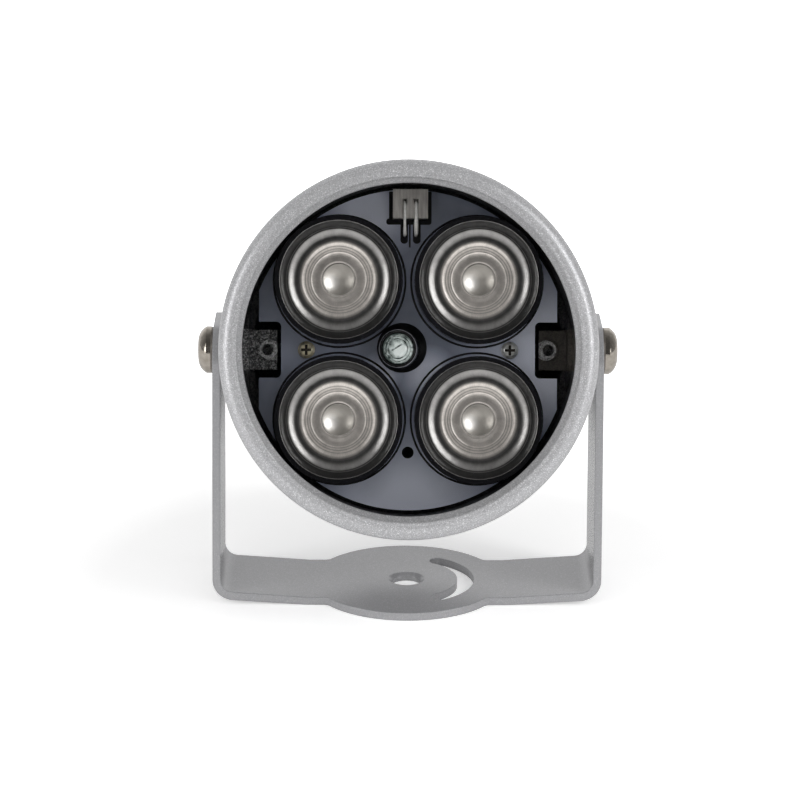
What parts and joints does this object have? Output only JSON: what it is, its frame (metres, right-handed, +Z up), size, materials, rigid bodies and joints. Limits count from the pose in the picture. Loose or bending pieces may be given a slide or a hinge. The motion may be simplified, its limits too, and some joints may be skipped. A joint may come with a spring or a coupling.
{
  "type": "infrared illuminator",
  "caption": "Round cast infrared illuminator with collimated emitters behind a flat window, tilting in a U bracket with a screw hole and a curved slot in its base.",
  "frame": {"origin": "centre of the base hole at the bracket's flat underside", "axes": "+Z up along the base hole, whose mate leaves towards -Z, the lamp's front faces -Y, +X to the right as seen from the front, and the tilt axis lies along X"},
  "size_m": [0.0934, 0.0796, 0.1029],
  "materials": {
    "bracket_paint": "satin",
    "cast_paint": "satin",
    "window": "gloss",
    "seal_rubber": "matte",
    "board": "gloss",
    "clear_cap": "gloss",
    "black_plastic": "satin",
    "beige_plastic": "satin",
    "tinned_pin": "gloss",
    "brassy_screw": "satin",
    "nickel_screw": "gloss",
    "chip_black": "matte",
    "ferrite": "matte",
    "can": "gloss",
    "bolt_nickel": "polished",
    "gland_nylon": "satin",
    "emitter": "gloss",
    "lens_clear": "gloss"
  },
  "bodies": {
    "bracket": {"bracket": "bracket_paint"},
    "lamp": {"barrel": "cast_paint", "bezel_ring": "cast_paint", "window_glass": "window", "window_seal": "seal_rubber", "led_board": "board", "light_sensor": "clear_cap", "sensor_sleeve": "black_plastic", "power_header": "beige_plastic", "header_pin_left": "tinned_pin", "header_pin_right": "tinned_pin", "board_screw_left": "brassy_screw", "board_screw_right": "nickel_screw", "driver_chip": "chip_black", "driver_inductor": "ferrite", "sense_resistor": "chip_black", "smoothing_capacitor": "can", "pivot_bolt_left": "bolt_nickel", "pivot_bolt_right": "bolt_nickel", "gland_body": "gland_nylon", "gland_cap": "gland_nylon", "gland_locknut": "gland_nylon", "gland_seal": "seal_rubber", "led_emitter_top_left": "emitter", "lens_holder_top_left": "black_plastic", "lens_top_left": "lens_clear", "led_emitter_top_right": "emitter", "lens_holder_top_right": "black_plastic", "lens_top_right": "lens_clear", "led_emitter_bottom_left": "emitter", "lens_holder_bottom_left": "black_plastic", "lens_bottom_left": "lens_clear", "led_emitter_bottom_right": "emitter", "lens_holder_bottom_right": "black_plastic", "lens_bottom_right": "lens_clear"}
  },
  "joints": [
    {"name": "lamp_tilt", "type": "hinge", "parent": "bracket", "child": "lamp", "pos_m": [0, 0, 0.05628], "axis": [1, 0, 0], "range_deg": [-73, 107]}
  ]
}
